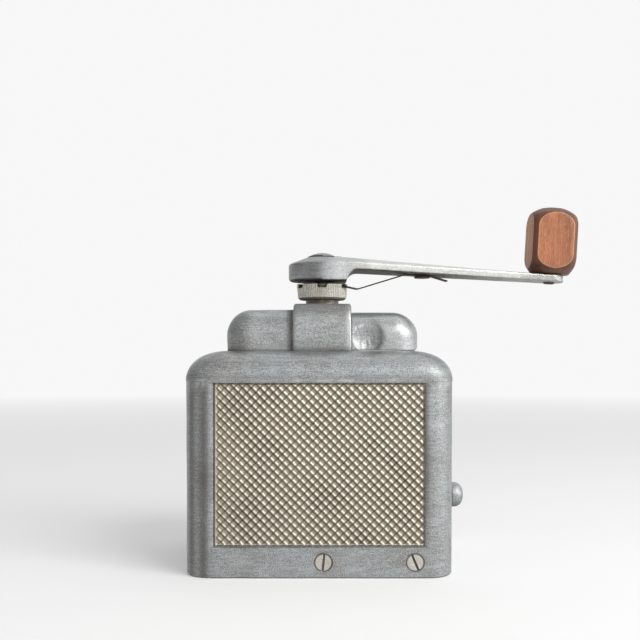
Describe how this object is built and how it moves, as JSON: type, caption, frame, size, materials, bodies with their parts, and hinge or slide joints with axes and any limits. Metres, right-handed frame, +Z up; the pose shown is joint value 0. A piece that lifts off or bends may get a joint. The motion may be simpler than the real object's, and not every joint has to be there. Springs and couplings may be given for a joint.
{
  "type": "coffee grinder",
  "caption": "Hand-cranked box coffee mill in cast aluminium with a hinged hopper lid, notched adjusting nut, square wooden crank knob and a drawer that pulls out to the side.",
  "frame": {"origin": "on the floor under the spindle's axis, 1.3 mm to the right of the base plate's middle", "axes": "+X towards the drawer knob and the crank at rest, +Y to the back, +Z up along the spindle"},
  "size_m": [0.1696, 0.08, 0.1558],
  "materials": {
    "cast_aluminium": "fine cast grain, tumbled, softly worn",
    "ridged_panel": "lattice of fine raised ridges, brown film in the hollows",
    "sheet_steel": "rolled, dull",
    "cast_iron": "sand cast",
    "burr_steel": "hardened, dark",
    "bronze": "turned",
    "machined_steel": "turned or rolled, lightly oxidised",
    "aged_nickel": "turned and knurled, brown patina",
    "spring_steel": "dark drawn strip and wire",
    "knob_wood": "turned and planed, satin, visible grain"
  },
  "bodies": {
    "housing": {"body_shell": "cast_aluminium", "front_panel": "ridged_panel", "rear_panel": "ridged_panel", "base_plate": "sheet_steel", "base_screws": "machined_steel", "front_rail": "sheet_steel", "rear_rail": "sheet_steel", "front_rail_screws": "machined_steel", "rear_rail_screws": "machined_steel", "hopper_funnel": "sheet_steel", "mill_frame": "cast_iron", "mill_frame_screws": "machined_steel", "outer_burr": "burr_steel", "lower_bearing": "cast_iron", "lower_bearing_screws": "machined_steel", "bridge": "cast_aluminium", "bridge_bush": "bronze", "bridge_screws": "machined_steel", "left_cover": "cast_aluminium", "cover_screws": "machined_steel", "hinge_pin": "machined_steel"},
    "lid": {"hopper_lid": "cast_aluminium"},
    "drawer": {"drawer_tray": "sheet_steel", "drawer_front": "cast_aluminium", "drawer_rivets": "machined_steel", "drawer_knob": "machined_steel", "drawer_knob_screw": "machined_steel"},
    "key_collar": {"keyed_washer": "aged_nickel"},
    "nut": {"adjusting_nut": "aged_nickel"},
    "crank": {"spindle": "machined_steel", "inner_burr": "burr_steel", "burr_pin": "machined_steel", "thrust_spring": "spring_steel", "spring_washer": "machined_steel", "spring_pin": "machined_steel", "crank_arm": "cast_aluminium", "crank_screw": "machined_steel", "lock_spring": "spring_steel", "lock_spring_rivet": "machined_steel", "knob_rivet": "machined_steel", "knob_washer": "machined_steel"},
    "handle": {"handle_knob": "knob_wood"}
  },
  "joints": [
    {"name": "lid_hinge", "type": "hinge", "parent": "housing", "child": "lid", "pos_m": [0.0382, 0, 0.0952], "axis": [0, 1, 0], "range_deg": [0, 90]},
    {"name": "drawer_slide", "type": "slide", "parent": "housing", "child": "drawer", "axis": [1, 0, 0], "range_m": [0, 0.07]},
    {"name": "crank_turn", "type": "hinge", "parent": "housing", "child": "key_collar", "pos_m": [0, 0, 0.1138], "axis": [0, 0, 1], "continuous": true},
    {"name": "adjust_turn", "type": "hinge", "parent": "key_collar", "child": "nut", "pos_m": [0, 0, 0.1184], "axis": [0, 0, 1], "range_deg": [-140, 140], "deforming": ["lock_spring"]},
    {"name": "burr_lift", "type": "slide", "parent": "key_collar", "child": "crank", "axis": [0, 0, 1], "range_m": [-0.000486, 0.000486], "deforming": ["thrust_spring"]},
    {"name": "knob_spin", "type": "hinge", "parent": "crank", "child": "handle", "pos_m": [0.1014, 0, 0.12577], "axis": [0.0576, 0, 0.9983], "continuous": true}
  ],
  "couplings": [
    {"joint": "adjust_turn", "follows": "burr_lift", "rad_per_m": -5026.5}
  ]
}
